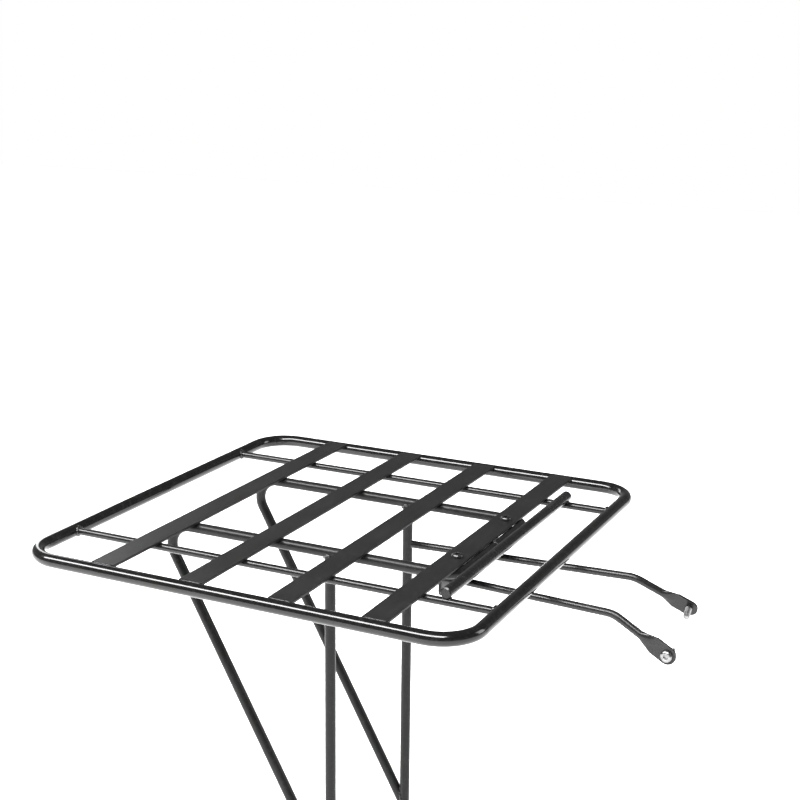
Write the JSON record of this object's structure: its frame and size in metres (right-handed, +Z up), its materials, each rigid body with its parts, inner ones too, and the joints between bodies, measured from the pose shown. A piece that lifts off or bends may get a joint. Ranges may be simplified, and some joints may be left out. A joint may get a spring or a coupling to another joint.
{
  "type": "bicycle rear rack",
  "caption": "Wide flat rear rack: a bent tube loop with cross slats on two rods, two legs with rear diagonals, and two adjustable stays held in sleeves.",
  "frame": {"origin": "centre of the load deck, level with the top of the slats, on the bicycle's middle plane", "axes": "+X forward to the saddle, +Y to the bicycle's left, +Z up"},
  "size_m": [0.5495, 0.439, 0.4265],
  "materials": {
    "gloss_black": "gloss black powder coat",
    "satin_black": "satin black powder coat",
    "stay_black": "dark satin coat on solid steel rod",
    "black_zinc": "black zinc plate with worn bright edges",
    "steel": "bright zinc-plated steel"
  },
  "bodies": {
    "rack": {"outer_loop": "gloss_black", "rod_right": "gloss_black", "rod_left": "gloss_black", "slat_1": "satin_black", "slat_2": "satin_black", "slat_3": "satin_black", "slat_4": "satin_black", "front_bar": "satin_black", "side_tube_right": "satin_black", "side_tube_left": "satin_black", "leg_right": "satin_black", "leg_left": "satin_black", "stay_bracket": "satin_black", "sleeve_right": "satin_black", "sleeve_left": "satin_black", "set_screws": "black_zinc", "bracket_bolts": "black_zinc", "bracket_washers": "black_zinc", "bracket_nuts": "black_zinc"},
    "right_stay": {"stay_right": "stay_black", "stay_bolt_right": "steel"},
    "left_stay": {"stay_left": "stay_black", "stay_bolt_left": "steel"}
  },
  "joints": [
    {"name": "stay_slide_right", "type": "slide", "parent": "rack", "child": "right_stay", "axis": [0.9976, -0.0698, 0], "range_m": [-0.06, 0.04]},
    {"name": "stay_slide_left", "type": "slide", "parent": "rack", "child": "left_stay", "axis": [0.9976, 0.0698, 0], "range_m": [-0.05, 0.05]}
  ]
}
